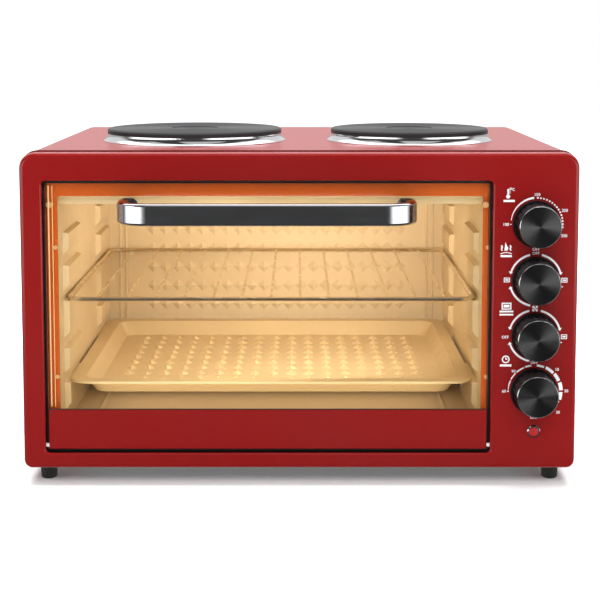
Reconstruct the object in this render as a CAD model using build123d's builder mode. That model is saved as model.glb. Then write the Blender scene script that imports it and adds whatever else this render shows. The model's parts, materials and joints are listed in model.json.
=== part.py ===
"""Table-top oven with two hotplates on its roof, as a set of separate named pieces.

Millimetres, +Z up, the front face looks along -Y, and the feet stand on Z = 0.
The origin is below the middle of the whole object's box.
"""
import os
from math import atan2, degrees, hypot, sqrt

from build123d import *

os.makedirs("parts", exist_ok=True)

# Body shell
body_width = 530.0
body_height = 305.0
body_depth = 380.0
foot_height = 17.6
top_corner_radius = 15.0
bottom_corner_radius = 8.0
sheet = 1.2
frame_return = 18.0
frame_edge_radius = 4.0
frame_tongue = 14.0
casing_seam = 0.6
casing_lip = 40.0
base_start = 5.0
fit_gap = 0.3
rear_inset = 2.0
rear_flange = 10.0

# Door opening in the front frame, and the ledge behind it
opening_left_border = 21.2
opening_right_border = 81.7
opening_bottom_border = 15.0
opening_top_border = 26.7
opening_corner_radius = 4.0
opening_edge_radius = 2.0
ledge_depth = 12.0
ledge_left = 13.1
ledge_right = 8.1
ledge_top = 15.6
ledge_bottom = 15.4
ledge_bead_width = 2.0
ledge_bead_height = 0.8
ledge_bead_inset = 5.5
flange_screw_rise = 41.0
flange_screw_drop = 52.9
bumper_radius = 3.0
bumper_drop = 23.4

# Oven chamber
liner = 1.0
liner_setback = 1.0
liner_flange = 9.0
ceiling_rise = 3.6
chamber_back_space = 18.0
shelf_levels = (91.0, 126.0, 173.5, 208.5, 241.0)
shelf_slot = 10.0
lowest_pad_bottom = 64.0
pad_rise = 5.0
pad_drop = 1.5
pad_front = 43.0
pad_length = 85.0
pad_from_back = 22.0
bead_insets = (13.95, 20.95)
bead_width = 3.0
bead_height = 1.5
pyramid_pitch = 15.0
pyramid_row_pitch = 22.9
pyramid_height = 2.6
pyramid_flat = 0.6
pyramid_side_space = 47.0
pyramid_top_space = 15.9
pyramid_bottom_space = 32.0
ceiling_lip_drop = 12.0
ceiling_lip_setback = 8.0
floor_crease_inset = 25.0
floor_crease_height = 1.2

# Heating elements
element_radius = 3.3
element_bend = 26.0
element_front = 175.0
element_from_back = 70.0
element_end_gap = 17.0
element_from_ceiling = 14.0
element_from_floor = 11.0
bush_radius = 7.0
bush_neck_radius = 5.0
bush_length = 13.0
bush_clearance = 0.1
element_terminal = 9.0
hook_width = 12.0

# Hotplates
hotplate_depth = 168.0
hotplate_left_inset = 154.0
hotplate_right_inset = 148.0
hotplate_left_radius = 92.0
hotplate_right_radius = 83.25
plate_top = 13.0
plate_edge_radius = 1.5
plate_recess_radius = 25.0
plate_recess = 0.8
plate_roof = 6.5
plate_wall = 6.0
plate_floor = -5.0
ring_height = 8.0
ring_spread = 4.35
ring_lip = 6.8
ring_sheet = 0.8
ring_skirt = 3.0
cutout_margin = 5.5
cover_sheet = 1.0
strap_width = 20.0
strap_sheet = 2.0
strap_drop = 8.0
strap_foot = 12.0
stud_radius = 3.0
stud_hole_gap = 0.15
stud_length = 16.0
nut_height = 5.0
nut_radius = 5.5

# Door
door_side_gap = 3.1
door_top_gap = 1.9
door_bottom_gap = 3.8
glass_thickness = 4.0
glass_front = 2.4
glass_corner_radius = 3.0
panel_height = 38.7
panel_front = 0.9
panel_sheet = 1.0
panel_return = 8.0
panel_edge_radius = 1.5
panel_side_height = 23.0
seal_line = 0.8
rail_sheet = 1.0
rail_shelf = 25.2
rail_bottom = 7.6
rail_top = 36.0
rail_inset = 4.0
hinge_height = 39.1
hinge_depth = 6.0
hinge_pin_radius = 2.0
hinge_clearance = 0.05
hinge_arm_sheet = 3.0
hinge_arm_gap = 1.0
hinge_pin_inside = 2.5
hinge_arm_length = 30.0
hinge_arm_radius = 4.5
arm_tip_radius = 3.5
spring_radius = 3.5
spring_wire = 1.0
hook_inset = 0.8

# Handle
handle_length = 281.0
handle_height = 20.5
handle_thickness = 10.0
handle_reach = 44.4
handle_bend = 25.0
handle_drop = 25.5
handle_bevel = 2.6
handle_foot_width = 18.0
handle_foot_height = 22.0
handle_foot_sheet = 1.5
handle_screw_radius = 2.5
handle_screw_head = 4.5

# Controls
knob_inset = 40.6
knob_height_shares = (0.77836, 0.60197, 0.42557, 0.24918)
knob_names = ("thermostat", "hotplate_selector", "function_selector", "timer")
skirt_radius = 22.5
skirt_height = 3.5
grip_radius = 20.0
grip_foot_radius = 20.6
knob_height = 24.0
knob_gap = 0.6
knob_recess = 1.8
knob_wall = 2.4
grip_flutes = 20
flute_depth = 0.9
flute_width = 2.2
flute_top = 3.0
disc_radius = 19.6
disc_sheet = 1.2
disc_bevel = 0.5
shaft_radius = 3.0
shaft_flat = 1.5
shaft_clearance = 0.05
hub_radius = 5.5
control_width = 38.0
control_height = 34.0
control_depth = 24.0
bush_outer = 5.0
control_hole_gap = 0.2
blade_length = 5.5
blade_sheet = 0.6
lamp_height_share = 0.12
lamp_inset = 40.0
lamp_bezel_radius = 6.2
lamp_lens_radius = 4.8
lamp_proud = 1.6
lamp_edge_radius = 1.28

# Loose furniture of the chamber
rack_wire_radius = 2.25
rack_rod_radius = 1.3
rack_side_gap = 3.95
rack_front = 43.25
rack_back_gap = 7.25
rack_corner = 14.0
rack_rods = 13
tray_side_gap = 3.45
tray_front = 42.0
tray_back_gap = 17.0
tray_sheet = 0.8
tray_rim = 14.0
tray_lip = 2.2
tray_tub_depth = 15.0
tray_wall_run = 9.0
tray_corner = 20.0

# Base, back and feet
foot_inset = 18.7
foot_from_end = 30.0
foot_radius = 8.5
foot_tip_radius = 7.8
foot_screw_radius = 2.0
foot_screw_head = 3.6
foot_socket = 12.0
rear_screw_margin = 14.0
rear_screw_head = 1.8
rear_screw_length = 8.0
base_slot_length = 80.0
base_slot_width = 5.0
base_slot_spread = 110.0
base_slot_margin = 115.0
gland_inset = 37.0
gland_level = 58.0
gland_radius = 8.0
gland_hole_radius = 6.0
gland_bore = 3.5
gland_reach = 12.0
vent_length = 46.0
vent_width = 4.0
vent_pitch = 11.0
vent_rows = 9
side_vent_spread = 68.4
rear_vent_spread = 120.0
rear_vent_rise = 20.0
shield_inset = 62.0
shield_headroom = 32.6
shield_front = 34.0
shield_foot = 5.0
terminal_from_back = 50.0
terminal_height = 16.8
terminal_hole_depth = 8.0

# Places that follow from the sizes above
half_width = body_width / 2
body_bottom = foot_height
body_top = foot_height + body_height
body_middle = foot_height + body_height / 2
front_y = -(body_depth + gland_reach - (handle_reach - glass_front)) / 2

opening_left = -half_width + opening_left_border
opening_right = half_width - opening_right_border
opening_bottom = body_bottom + opening_bottom_border
opening_top = body_top - opening_top_border
ledge_back = ledge_depth + sheet
mouth_left = opening_left + ledge_left
mouth_right = opening_right - ledge_right
mouth_bottom = opening_bottom + ledge_bottom
mouth_top = opening_top - ledge_top

chamber_left = mouth_left - liner_setback
chamber_right = mouth_right + liner_setback
chamber_floor = mouth_bottom - liner_setback
chamber_ceiling = mouth_top + ceiling_rise
chamber_middle = (chamber_left + chamber_right) / 2
chamber_half = (chamber_right - chamber_left) / 2
chamber_back = body_depth - chamber_back_space
pad_back = chamber_back - pad_from_back
pad_columns = ((pad_front, pad_front + pad_length), (pad_back - pad_length, pad_back))
element_back = chamber_back - element_from_back
pyramid_side = pyramid_pitch / sqrt(2)
pyramid_columns = 1 + 2 * int((chamber_half - pyramid_side_space) / pyramid_pitch)
pyramid_field = chamber_ceiling - chamber_floor - pyramid_top_space - pyramid_bottom_space
pyramid_rows = 1 + int(pyramid_field / pyramid_row_pitch)

hotplate_sides = (("left", -half_width + hotplate_left_inset, hotplate_left_radius),
                  ("right", half_width - hotplate_right_inset, hotplate_right_radius))
knob_column = half_width - knob_inset
knob_levels = [body_bottom + share * body_height for share in knob_height_shares]
lamp_level = body_bottom + lamp_height_share * body_height
lamp_column = half_width - lamp_inset
gland_column = half_width - gland_inset
shield_column = half_width - shield_inset
shield_top = body_top - shield_headroom
rack_back = chamber_back - rack_back_gap
rack_half_width = chamber_half - rack_side_gap
tray_back = chamber_back - tray_back_gap
tray_half_width = chamber_half - tray_side_gap

casing_front = frame_return + casing_seam
rear_panel_front = body_depth - rear_inset - sheet
rear_flange_front = rear_panel_front - rear_flange
base_level = body_bottom + sheet
base_top = base_level + sheet
base_back = rear_flange_front - fit_gap
base_half = half_width - bottom_corner_radius - 3 * fit_gap
foot_places = [(side * (half_width - foot_inset), front_y + depth)
               for side in (-1, 1) for depth in (foot_from_end, body_depth - foot_from_end)]

door_left = opening_left + door_side_gap
door_right = opening_right - door_side_gap
door_middle = (door_left + door_right) / 2
door_bottom = opening_bottom + door_bottom_gap
door_top = opening_top - door_top_gap
handle_level = door_top - handle_drop
panel_top = door_bottom + panel_height
panel_back = panel_front + panel_sheet
rail_level = door_bottom + rail_shelf
glass_bottom = rail_level + seal_line / 2
glass_back = glass_front + glass_thickness
rail_back = glass_back + rail_sheet


def front(depth):
    """A plane that faces the viewer, a distance behind the front face: local x is X, y is Z."""
    return Plane(origin=(0, front_y + depth, 0), x_dir=(1, 0, 0), z_dir=(0, -1, 0))


def body_outline(inset):
    """The body's front outline, with two large and two small corners, drawn in by an inset."""
    with BuildSketch(mode=Mode.PRIVATE) as outline:
        with Locations((0, body_middle)):
            Rectangle(body_width - 2 * inset, body_height - 2 * inset)
        rows = outline.vertices().group_by(Axis.Y)
        fillet(rows[-1], top_corner_radius - inset)
        rows = outline.vertices().group_by(Axis.Y)
        fillet(rows[0], bottom_corner_radius - inset)
    return outline.sketch


def block(left, right, near, far, low, high):
    """A plain block between two heights, given by its sides and its depths behind the front."""
    with Locations((left, front_y + near, low)):
        return Box(right - left, far - near, high - low, align=Align.MIN)


def cut_block(left, right, near, far, low, high):
    """The same block, taken away."""
    with Locations((left, front_y + near, low)):
        return Box(right - left, far - near, high - low, align=Align.MIN, mode=Mode.SUBTRACT)


def window(left, right, low, high, radius=0.0):
    """A rectangle in a front view, with rounded corners where a radius is given."""
    with BuildSketch(mode=Mode.PRIVATE) as shape:
        with Locations(((left + right) / 2, (low + high) / 2)):
            if radius:
                RectangleRounded(right - left, high - low, radius)
            else:
                Rectangle(right - left, high - low)
    return shape.sketch


# Front frame: a drawn sheet with a rolled outer edge, the door's jamb and the chamber's ledge
with BuildPart() as frame_cavity:
    with BuildSketch(front(sheet)):
        add(body_outline(sheet))
    extrude(amount=-frame_return)
    fillet(frame_cavity.faces().sort_by(Axis.Y)[0].edges(), frame_edge_radius - sheet)

with BuildPart() as front_frame:
    with BuildSketch(front(0)):
        add(body_outline(0))
    extrude(amount=-frame_return)
    fillet(front_frame.faces().sort_by(Axis.Y)[0].edges(), frame_edge_radius)
    add(frame_cavity.part, mode=Mode.SUBTRACT)
    with BuildSketch(front(frame_return - sheet * 2)):
        add(body_outline(sheet))
        add(body_outline(2 * sheet), mode=Mode.SUBTRACT)
    tongue = extrude(amount=-(frame_tongue + sheet * 2), mode=Mode.PRIVATE)
    with BuildSketch(front(frame_return - sheet * 2)):
        add(window(-half_width, half_width, body_bottom + 2 * bottom_corner_radius, body_top))
    upper_part = extrude(amount=-(frame_tongue + sheet * 2), mode=Mode.PRIVATE)
    add(tongue & upper_part)
    with BuildSketch(front(sheet)):
        add(window(opening_left - sheet, opening_right + sheet,
                   opening_bottom - sheet, opening_top + sheet, opening_corner_radius + sheet))
    extrude(amount=-ledge_depth)
    with BuildSketch(front(0)):
        add(window(opening_left, opening_right, opening_bottom, opening_top, opening_corner_radius))
    extrude(amount=-ledge_depth, mode=Mode.SUBTRACT)
    with BuildSketch(front(ledge_depth)):
        add(window(mouth_left, mouth_right, mouth_bottom, mouth_top, opening_corner_radius / 2))
    extrude(amount=-sheet, mode=Mode.SUBTRACT)
    rims = front_frame.faces().sort_by(Axis.Y)[0].inner_wires().sort_by(SortBy.LENGTH)
    fillet(rims[-1].edges(), opening_edge_radius)
    bead_left = opening_left + ledge_bead_inset
    with BuildSketch(front(ledge_depth - ledge_bead_height)):
        add(window(bead_left, bead_left + ledge_bead_width, opening_bottom, opening_top))
        add(window(opening_right - ledge_bead_inset - ledge_bead_width,
                   opening_right - ledge_bead_inset, opening_bottom, opening_top))
    extrude(amount=-ledge_bead_height)
    with BuildSketch(front(0)):
        with Locations(*[(knob_column, level) for level in knob_levels]):
            Circle(bush_outer + control_hole_gap)
        with Locations((lamp_column, lamp_level)):
            Circle(lamp_lens_radius)
    extrude(amount=-sheet, mode=Mode.SUBTRACT)
    with BuildSketch(Plane.YZ.offset(opening_left - sheet)):
        with Locations((front_y + hinge_depth, hinge_height)):
            Circle(hinge_pin_radius + hinge_clearance)
    extrude(amount=opening_right - opening_left + 2 * sheet, mode=Mode.SUBTRACT)
front_frame.part.label = "front_frame"
export_step(front_frame.part, "parts/front_frame.step")


# Outer casing: roof and two sides in one folded sheet, with a lip turned in under each side
with BuildPart() as outer_casing:
    with BuildSketch(front(casing_front)):
        add(body_outline(0))
        add(body_outline(sheet), mode=Mode.SUBTRACT)
    extrude(amount=-(body_depth - casing_front))
    cut_block(-half_width + casing_lip, half_width - casing_lip, casing_front, body_depth,
              body_bottom, base_level)
    with BuildSketch(Plane.XY.offset(body_top)):
        for side, centre, plate_radius in hotplate_sides:
            with Locations((centre, front_y + hotplate_depth)):
                Circle(plate_radius - cutout_margin)
    extrude(amount=-sheet, mode=Mode.SUBTRACT)
    with BuildSketch(Plane.YZ.offset(half_width)):
        with Locations((front_y + body_depth / 2, body_middle)):
            with GridLocations(side_vent_spread, vent_pitch, 3, vent_rows):
                SlotOverall(vent_length, vent_width)
    extrude(amount=-sheet, mode=Mode.SUBTRACT)
    with BuildSketch(Plane.XY.offset(body_bottom)):
        with Locations(*foot_places):
            Circle(foot_screw_radius + control_hole_gap)
    extrude(amount=sheet, mode=Mode.SUBTRACT)
outer_casing.part.label = "outer_casing"
export_step(outer_casing.part, "parts/outer_casing.step")

# Base plate: lies on the casing's lips and the frame's flange, with beads, slots and spring tabs
spring_column_left = opening_left - sheet - hinge_arm_gap - hinge_arm_sheet / 2
spring_column_right = opening_right + sheet + hinge_arm_gap + hinge_arm_sheet / 2
spring_depth = hinge_depth + hinge_arm_length
tab_height = 6.0
tab_hole_level = base_top + tab_height / 2
with BuildPart() as base_plate:
    block(-base_half, base_half, base_start, base_back, base_level, base_top)
    with BuildSketch(Plane.XY.offset(base_top)):
        with Locations((0, front_y + body_depth / 2)):
            with GridLocations(base_slot_spread, body_depth - 2 * base_slot_margin, 3, 2):
                SlotOverall(base_slot_length, base_slot_width)
    extrude(amount=-sheet, mode=Mode.SUBTRACT)
    with BuildSketch(Plane.XY.offset(base_level)):
        with Locations(*foot_places):
            Circle(foot_screw_radius + control_hole_gap)
    extrude(amount=sheet, mode=Mode.SUBTRACT)
    for column in (spring_column_left, spring_column_right):
        block(column - sheet / 2, column + sheet / 2, spring_depth - tab_height / 2,
              spring_depth + tab_height / 2, base_top, base_top + tab_height)
    with BuildSketch(Plane.YZ.offset(spring_column_left - sheet)):
        with Locations((front_y + spring_depth, tab_hole_level)):
            Circle(spring_wire)
    extrude(amount=spring_column_right - spring_column_left + 2 * sheet, mode=Mode.SUBTRACT)
base_plate.part.label = "base_plate"
export_step(base_plate.part, "parts/base_plate.step")

# Rear panel: a shallow tray set inside the casing, with vent slots, screw holes and the gland's hole
rear_screw_reach = half_width - rear_screw_margin
rear_screw_places = [(x, z) for x in (-rear_screw_reach, 0, rear_screw_reach)
                     for z in (body_bottom + rear_screw_margin, body_top - rear_screw_margin)]
with BuildPart() as rear_panel:
    with BuildSketch(front(rear_flange_front)):
        add(body_outline(sheet + fit_gap))
    extrude(amount=-(rear_flange + sheet))
    offset(amount=-sheet, openings=rear_panel.faces().sort_by(Axis.Y)[0])
    with BuildSketch(front(rear_panel_front)):
        with Locations((0, body_middle + rear_vent_rise)):
            with GridLocations(rear_vent_spread, vent_pitch, 3, vent_rows):
                SlotOverall(2 * vent_length, vent_width)
        with Locations((gland_column, gland_level)):
            Circle(gland_hole_radius)
        with Locations(*rear_screw_places):
            Circle(foot_screw_radius)
    extrude(amount=-sheet, mode=Mode.SUBTRACT)
rear_panel.part.label = "rear_panel"
export_step(rear_panel.part, "parts/rear_panel.step")

with BuildPart() as rear_screws:
    with BuildSketch(front(body_depth - rear_inset)):
        with Locations(*rear_screw_places):
            Circle(foot_screw_head)
    extrude(amount=-rear_screw_head)
    with BuildSketch(front(body_depth - rear_inset)):
        with Locations(*rear_screw_places):
            Circle(foot_screw_radius - fit_gap / 2)
    extrude(amount=rear_screw_length)
rear_screws.part.label = "rear_screws"
export_step(rear_screws.part, "parts/rear_screws.step")

# Chamber side walls: pressed pads in rows, whose gaps carry the shelves
pad_bottoms = [lowest_pad_bottom] + [level + shelf_slot for level in shelf_levels[:-1]]


upper_element_level = chamber_ceiling - element_from_ceiling
lower_element_level = chamber_floor + element_from_floor
element_ends = [(depth, level) for depth in (element_front, element_back)
                for level in (upper_element_level, lower_element_level)]


def chamber_wall(name, inner, inward, holes):
    """A side wall, its inner face at X = inner, with pads that stand out along inward."""
    outer = inner - inward * liner
    flange_edge = outer - inward * liner_flange
    flange_low = hinge_height + hinge_arm_length + 2 * arm_tip_radius
    with BuildPart() as wall:
        block(min(inner, outer), max(inner, outer), ledge_back, chamber_back, chamber_floor,
              chamber_ceiling)
        block(min(outer, flange_edge), max(outer, flange_edge), ledge_back, ledge_back + liner,
              flange_low, chamber_ceiling)
        foot_plane = Plane(origin=(inner, front_y, 0), x_dir=(0, 1, 0), z_dir=(1, 0, 0))
        for near, far in pad_columns:
            for low, high in zip(pad_bottoms, shelf_levels):
                with BuildSketch(foot_plane):
                    add(window(near, far, low, high))
                with BuildSketch(foot_plane.offset(inward * pad_rise)):
                    add(window(near + pad_rise, far - pad_rise, low + pad_rise, high - pad_drop))
                loft(ruled=True)
        for depth, level in holes:
            with BuildSketch(foot_plane):
                with Locations((depth, level)):
                    Circle(bush_neck_radius + bush_clearance)
            extrude(amount=-inward * liner, mode=Mode.SUBTRACT)
    wall.part.label = name
    export_step(wall.part, f"parts/{name}.step")


chamber_wall("chamber_left_wall", chamber_left, 1, [])
chamber_wall("chamber_right_wall", chamber_right, -1, element_ends)

# Chamber back wall: a field of small pressed pyramids between two pairs of upright beads
with BuildPart() as pyramid:
    slope_outline = [(-pyramid_side / 2, 0), (pyramid_side / 2, 0),
                     (pyramid_flat / 2, -pyramid_height), (-pyramid_flat / 2, -pyramid_height)]
    with BuildSketch(Plane.XY):
        Polygon(*slope_outline, align=None)
    extrude(amount=pyramid_side / 2, both=True)
    with BuildSketch(Plane(origin=(0, 0, 0), x_dir=(0, 0, 1), z_dir=(-1, 0, 0))):
        Polygon(*slope_outline, align=None)
    extrude(amount=pyramid_side / 2, both=True, mode=Mode.INTERSECT)
turned_pyramid = pyramid.part.rotate(Axis.Y, 45)

pyramid_top = chamber_ceiling - pyramid_top_space
pyramid_places = [(chamber_middle + (column - (pyramid_columns - 1) / 2) * pyramid_pitch,
                   front_y + chamber_back, pyramid_top - row * pyramid_row_pitch)
                  for row in range(pyramid_rows) for column in range(pyramid_columns)]
with BuildPart() as chamber_back_wall:
    block(chamber_left - liner, chamber_right + liner, chamber_back, chamber_back + liner,
          chamber_floor - liner, chamber_ceiling + liner)
    for inset in bead_insets:
        for centre in (chamber_left + inset, chamber_right - inset):
            with BuildSketch(Plane.XY.offset(chamber_floor + bead_width)):
                with Locations((centre, front_y + chamber_back)):
                    Polygon((-bead_width / 2, 0), (bead_width / 2, 0), (bead_width / 4, -bead_height),
                            (-bead_width / 4, -bead_height), align=None)
            extrude(amount=chamber_ceiling - chamber_floor - 2 * bead_width)
    with Locations(*pyramid_places):
        add(turned_pyramid)
chamber_back_wall.part.label = "chamber_back_wall"
export_step(chamber_back_wall.part, "parts/chamber_back_wall.step")

# Chamber ceiling: a flat sheet whose front edge turns down in two steps
lip_near = ledge_back + ceiling_lip_setback
with BuildPart() as chamber_ceiling_sheet:
    block(chamber_left - liner, chamber_right + liner, ledge_back, chamber_back,
          chamber_ceiling, chamber_ceiling + liner)
    with BuildSketch(Plane.YZ.offset(chamber_left + fit_gap)):
        with BuildLine():
            Polyline((front_y + ledge_back, chamber_ceiling),
                     (front_y + ledge_back, chamber_ceiling - ceiling_rise),
                     (front_y + lip_near, chamber_ceiling - ceiling_lip_drop / 2),
                     (front_y + lip_near, chamber_ceiling - ceiling_lip_drop),
                     (front_y + lip_near + liner, chamber_ceiling - ceiling_lip_drop),
                     (front_y + lip_near + liner, chamber_ceiling), close=True)
        make_face()
    extrude(amount=chamber_right - chamber_left - 2 * fit_gap)
chamber_ceiling_sheet.part.label = "chamber_ceiling"
export_step(chamber_ceiling_sheet.part, "parts/chamber_ceiling.step")

# Chamber floor: a flat sheet with a shallow crease along each side
with BuildPart() as chamber_floor_sheet:
    block(chamber_left - liner, chamber_right + liner, ledge_back, chamber_back,
          chamber_floor - liner, chamber_floor)
    for centre in (chamber_left + floor_crease_inset, chamber_right - floor_crease_inset):
        with BuildSketch(front(ledge_back + floor_crease_inset)):
            with Locations((centre, chamber_floor)):
                Polygon((-bead_width, 0), (bead_width, 0), (0, floor_crease_height), align=None)
        extrude(amount=-(chamber_back - ledge_back - 2 * floor_crease_inset))
chamber_floor_sheet.part.label = "chamber_floor"
export_step(chamber_floor_sheet.part, "parts/chamber_floor.step")

# Heating elements: steel hairpins whose ends leave through ceramic bushes in the right wall
element_far = chamber_left + element_end_gap
element_right_end = chamber_right + bush_length + element_terminal
for name, level in (("upper", upper_element_level), ("lower", lower_element_level)):
    with BuildPart() as element:
        with BuildLine() as route:
            FilletPolyline((element_right_end, front_y + element_front, level),
                           (element_far, front_y + element_front, level),
                           (element_far, front_y + element_back, level),
                           (element_right_end, front_y + element_back, level),
                           radius=element_bend)
        with BuildSketch(Plane.YZ.offset(element_right_end)):
            with Locations((front_y + element_front, level)):
                Circle(element_radius)
        sweep()
    element.part.label = f"{name}_heating_element"
    export_step(element.part, f"parts/{name}_heating_element.step")

with BuildPart() as element_bushes:
    for depth, level in element_ends:
        with BuildSketch(Plane.YZ.offset(chamber_right + liner)):
            with Locations((front_y + depth, level)):
                Circle(bush_radius)
        extrude(amount=bush_length - liner)
        with BuildSketch(Plane.YZ.offset(chamber_right - liner)):
            with Locations((front_y + depth, level)):
                Circle(bush_neck_radius)
        extrude(amount=2 * liner)
        with BuildSketch(Plane.YZ.offset(chamber_right - liner)):
            with Locations((front_y + depth, level)):
                Circle(element_radius + bush_clearance)
        extrude(amount=2 * bush_length, mode=Mode.SUBTRACT)
element_bushes.part.label = "element_bushes"
export_step(element_bushes.part, "parts/element_bushes.step")

# Hooks on the left wall that hold each hairpin's closed end
hook_depth = (element_front + element_back) / 2
hook_reach = element_end_gap + element_radius + fit_gap + liner
with BuildPart() as element_hooks:
    for level in (upper_element_level, lower_element_level):
        under = level - element_radius - fit_gap - liner
        near, far = hook_depth - hook_width / 2, hook_depth + hook_width / 2
        block(chamber_left, chamber_left + hook_reach, near, far, under, under + liner)
        block(chamber_left + hook_reach - liner, chamber_left + hook_reach, near, far, under, level)
        block(chamber_left, chamber_left + liner, near, far, under - hook_width / 4,
              under + hook_width / 2)
element_hooks.part.label = "element_hooks"
export_step(element_hooks.part, "parts/element_hooks.step")

# Hotplates: a cast disc in a flared ring over a hole in the roof, clamped by a strap below
hotplate_y = front_y + hotplate_depth
for side, centre, plate_radius in hotplate_sides:
    radial = Plane(origin=(centre, hotplate_y, body_top), x_dir=(1, 0, 0), z_dir=(0, -1, 0))
    axis = Axis((centre, hotplate_y, body_top), (0, 0, 1))
    lip_radius = plate_radius - ring_lip
    body_radius = lip_radius - fit_gap
    ring_top_radius = plate_radius + fit_gap
    with BuildPart() as hotplate:
        with BuildSketch(radial):
            with BuildLine():
                Polyline((0, plate_top - plate_recess),
                         (plate_recess_radius - plate_recess, plate_top - plate_recess),
                         (plate_recess_radius, plate_top),
                         (plate_radius - plate_edge_radius, plate_top),
                         (plate_radius, plate_top - plate_edge_radius),
                         (plate_radius, ring_height), (body_radius, ring_height),
                         (body_radius, plate_floor), (body_radius - plate_wall, plate_floor),
                         (body_radius - plate_wall, plate_roof),
                         (2 * stud_radius, plate_roof), (2 * stud_radius, plate_floor),
                         (stud_radius + stud_hole_gap, plate_floor),
                         (stud_radius + stud_hole_gap, plate_roof), (0, plate_roof), close=True)
            make_face()
        revolve(axis=axis)
    hotplate.part.label = f"hotplate_{side}"
    export_step(hotplate.part, f"parts/hotplate_{side}.step")

    flare_top = (ring_top_radius, ring_height)
    flare_foot = (plate_radius + ring_spread, ring_sheet)
    inner_foot = (plate_radius + ring_spread - 2 * ring_sheet, 0)
    inner_top = (ring_top_radius - ring_sheet, ring_height - ring_sheet)
    flare_middle = (plate_radius + ring_spread / 3, ring_height / 3 + ring_sheet)
    inner_middle = (plate_radius + ring_spread / 3 - ring_sheet, ring_height / 3)
    with BuildPart() as ring:
        with BuildSketch(radial):
            with BuildLine():
                Polyline((lip_radius, -ring_skirt), (lip_radius, ring_height), flare_top)
                ThreePointArc(flare_top, flare_middle, flare_foot)
                Polyline(flare_foot, (flare_foot[0], 0), inner_foot)
                ThreePointArc(inner_foot, inner_middle, inner_top)
                Polyline(inner_top, (lip_radius + ring_sheet, inner_top[1]),
                         (lip_radius + ring_sheet, -ring_skirt), (lip_radius, -ring_skirt))
            make_face()
        revolve(axis=axis)
    ring.part.label = f"hotplate_ring_{side}"
    export_step(ring.part, f"parts/hotplate_ring_{side}.step")

with BuildPart() as hotplate_covers:
    for side, centre, plate_radius in hotplate_sides:
        with BuildSketch(Plane.XY.offset(body_top + plate_floor - cover_sheet)):
            with Locations((centre, hotplate_y)):
                Circle(plate_radius - ring_lip - 2 * fit_gap)
                Circle(stud_radius + stud_hole_gap, mode=Mode.SUBTRACT)
        extrude(amount=cover_sheet)
hotplate_covers.part.label = "hotplate_covers"
export_step(hotplate_covers.part, "parts/hotplate_covers.step")

with BuildPart() as hotplate_straps:
    for side, centre, plate_radius in hotplate_sides:
        cutout = plate_radius - cutout_margin
        foot_top, run_top = -sheet, -strap_drop
        bend_out, bend_in = cutout + strap_width / 5, cutout - strap_width / 6
        with BuildSketch(Plane(origin=(centre, hotplate_y + strap_width / 2, body_top),
                               x_dir=(1, 0, 0), z_dir=(0, -1, 0))):
            with BuildLine():
                Polyline((-bend_out - strap_foot, foot_top), (-bend_out, foot_top),
                         (-bend_in, run_top), (bend_in, run_top), (bend_out, foot_top),
                         (bend_out + strap_foot, foot_top),
                         (bend_out + strap_foot, foot_top - strap_sheet),
                         (bend_out - strap_sheet / 2, foot_top - strap_sheet),
                         (bend_in - strap_sheet / 2, run_top - strap_sheet),
                         (strap_sheet / 2 - bend_in, run_top - strap_sheet),
                         (strap_sheet / 2 - bend_out, foot_top - strap_sheet),
                         (-bend_out - strap_foot, foot_top - strap_sheet), close=True)
            make_face()
        extrude(amount=strap_width)
        with BuildSketch(Plane.XY.offset(body_top - strap_drop - strap_sheet)):
            with Locations((centre, hotplate_y)):
                Circle(stud_radius + stud_hole_gap)
        extrude(amount=strap_sheet, mode=Mode.SUBTRACT)
hotplate_straps.part.label = "hotplate_straps"
export_step(hotplate_straps.part, "parts/hotplate_straps.step")

with BuildPart() as hotplate_studs:
    for side, centre, plate_radius in hotplate_sides:
        with BuildSketch(Plane.XY.offset(body_top + plate_roof - fit_gap)):
            with Locations((centre, hotplate_y)):
                Circle(stud_radius)
        extrude(amount=-(plate_roof + stud_length))
        with BuildSketch(Plane.XY.offset(body_top - strap_drop - strap_sheet)):
            with Locations((centre, hotplate_y)):
                RegularPolygon(nut_radius, 6)
        extrude(amount=-nut_height)
hotplate_studs.part.label = "hotplate_studs"
export_step(hotplate_studs.part, "parts/hotplate_studs.step")

# Door glass: a clear pane with holes for the handle's screws
handle_ends = [door_middle + side * (handle_length - handle_thickness) / 2 for side in (-1, 1)]
handle_feet = [door_middle + side * (handle_length - handle_foot_width) / 2 for side in (-1, 1)]
with BuildPart() as door_glass:
    with BuildSketch(front(glass_front)):
        add(window(door_left, door_right, glass_bottom, door_top, glass_corner_radius))
        with Locations(*[(x, handle_level) for x in handle_ends]):
            Circle(handle_screw_radius + fit_gap, mode=Mode.SUBTRACT)
    extrude(amount=-glass_thickness)
door_glass.part.label = "door_glass"
export_step(door_glass.part, "parts/door_glass.step")

# Lower door panel: a folded sheet, open behind and above, whose sides hold the hinge pins
with BuildPart() as door_panel:
    with BuildSketch(front(panel_front)):
        add(window(door_left, door_right, door_bottom, panel_top))
    extrude(amount=-panel_return)
    face_edges = door_panel.faces().sort_by(Axis.Y)[0].edges()
    fillet(face_edges.sort_by(Axis.Z)[:-1], panel_edge_radius)
    offset(amount=-panel_sheet, openings=[door_panel.faces().sort_by(Axis.Y)[-1],
                                          door_panel.faces().sort_by(Axis.Z)[-1]])
    cut_block(door_left, door_right, panel_back, panel_front + panel_return,
              door_bottom + panel_side_height, panel_top)
    with BuildSketch(Plane.YZ.offset(door_left)):
        with Locations((front_y + hinge_depth, hinge_height)):
            Circle(hinge_pin_radius)
    extrude(amount=door_right - door_left, mode=Mode.SUBTRACT)
door_panel.part.label = "door_panel"
export_step(door_panel.part, "parts/door_panel.step")

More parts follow.
